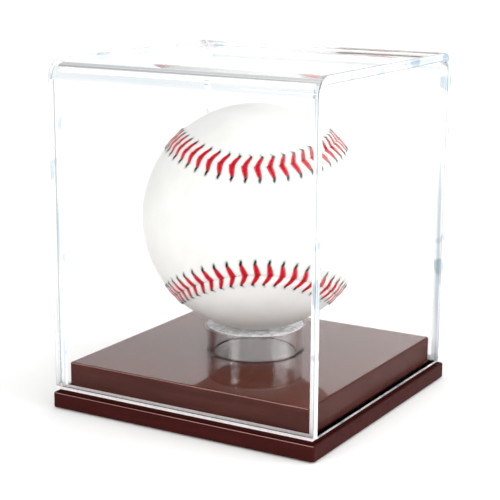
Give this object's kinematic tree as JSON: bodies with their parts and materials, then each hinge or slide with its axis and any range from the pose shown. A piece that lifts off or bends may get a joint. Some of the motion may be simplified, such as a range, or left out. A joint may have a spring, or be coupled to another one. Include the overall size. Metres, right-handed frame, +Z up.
{
  "type": "baseball display case",
  "caption": "Display case for a baseball: a two-tier lacquered wood base, a clear acrylic cover that lifts straight off, and a clear ring that holds the ball, shown with its ball.",
  "frame": {"origin": "centre of the underside of the felt sheet, on the surface that the case stands on", "axes": "+Z up; -Y out of the front of the cover, whose folded sheet makes the front, the top and the back; +X to the right-hand end panel, seen from the front"},
  "size_m": [0.096, 0.096, 0.1132],
  "materials": {
    "mahogany_lacquer": "gloss lacquer over a dark mahogany stain",
    "zinc_steel": "zinc plated",
    "black_felt": "pressed felt",
    "clear_acrylic": "clear, polished faces and edges",
    "cork_composition": "granulated cork in rubber",
    "black_rubber": "moulded",
    "red_rubber": "moulded",
    "grey_wool": "wound yarn",
    "white_wool": "wound yarn",
    "cotton_yarn": "fine wound yarn",
    "white_leather": "smooth alum-tanned, faint pores",
    "red_thread": "waxed thread, dark where it enters the leather"
  },
  "bodies": {
    "base": {"base_plinth": "mahogany_lacquer", "base_block": "mahogany_lacquer", "base_screws": "zinc_steel", "felt_pad": "black_felt"},
    "cover": {"cover_folded_sheet": "clear_acrylic", "cover_left_panel": "clear_acrylic", "cover_right_panel": "clear_acrylic"},
    "ring": {"ball_ring": "clear_acrylic"},
    "ball": {"ball_cork_core": "cork_composition", "ball_black_rubber": "black_rubber", "ball_red_rubber": "red_rubber", "ball_inner_wool": "grey_wool", "ball_middle_wool": "white_wool", "ball_outer_wool": "grey_wool", "ball_cotton_wrap": "cotton_yarn", "ball_leather_panel_a": "white_leather", "ball_leather_panel_b": "white_leather", "ball_stitches": "red_thread"}
  },
  "joints": [
    {"name": "cover_lift", "type": "slide", "parent": "base", "child": "cover", "axis": [0, 0, 1], "range_m": [0, 0.1]},
    {"name": "ring_turn", "type": "hinge", "parent": "base", "child": "ring", "pos_m": [0, 0, 0.0152], "axis": [0, 0, 1], "continuous": true},
    {"name": "ball_lift", "type": "slide", "parent": "ring", "child": "ball", "axis": [0, 0, 1], "range_m": [0, 0.011]}
  ]
}
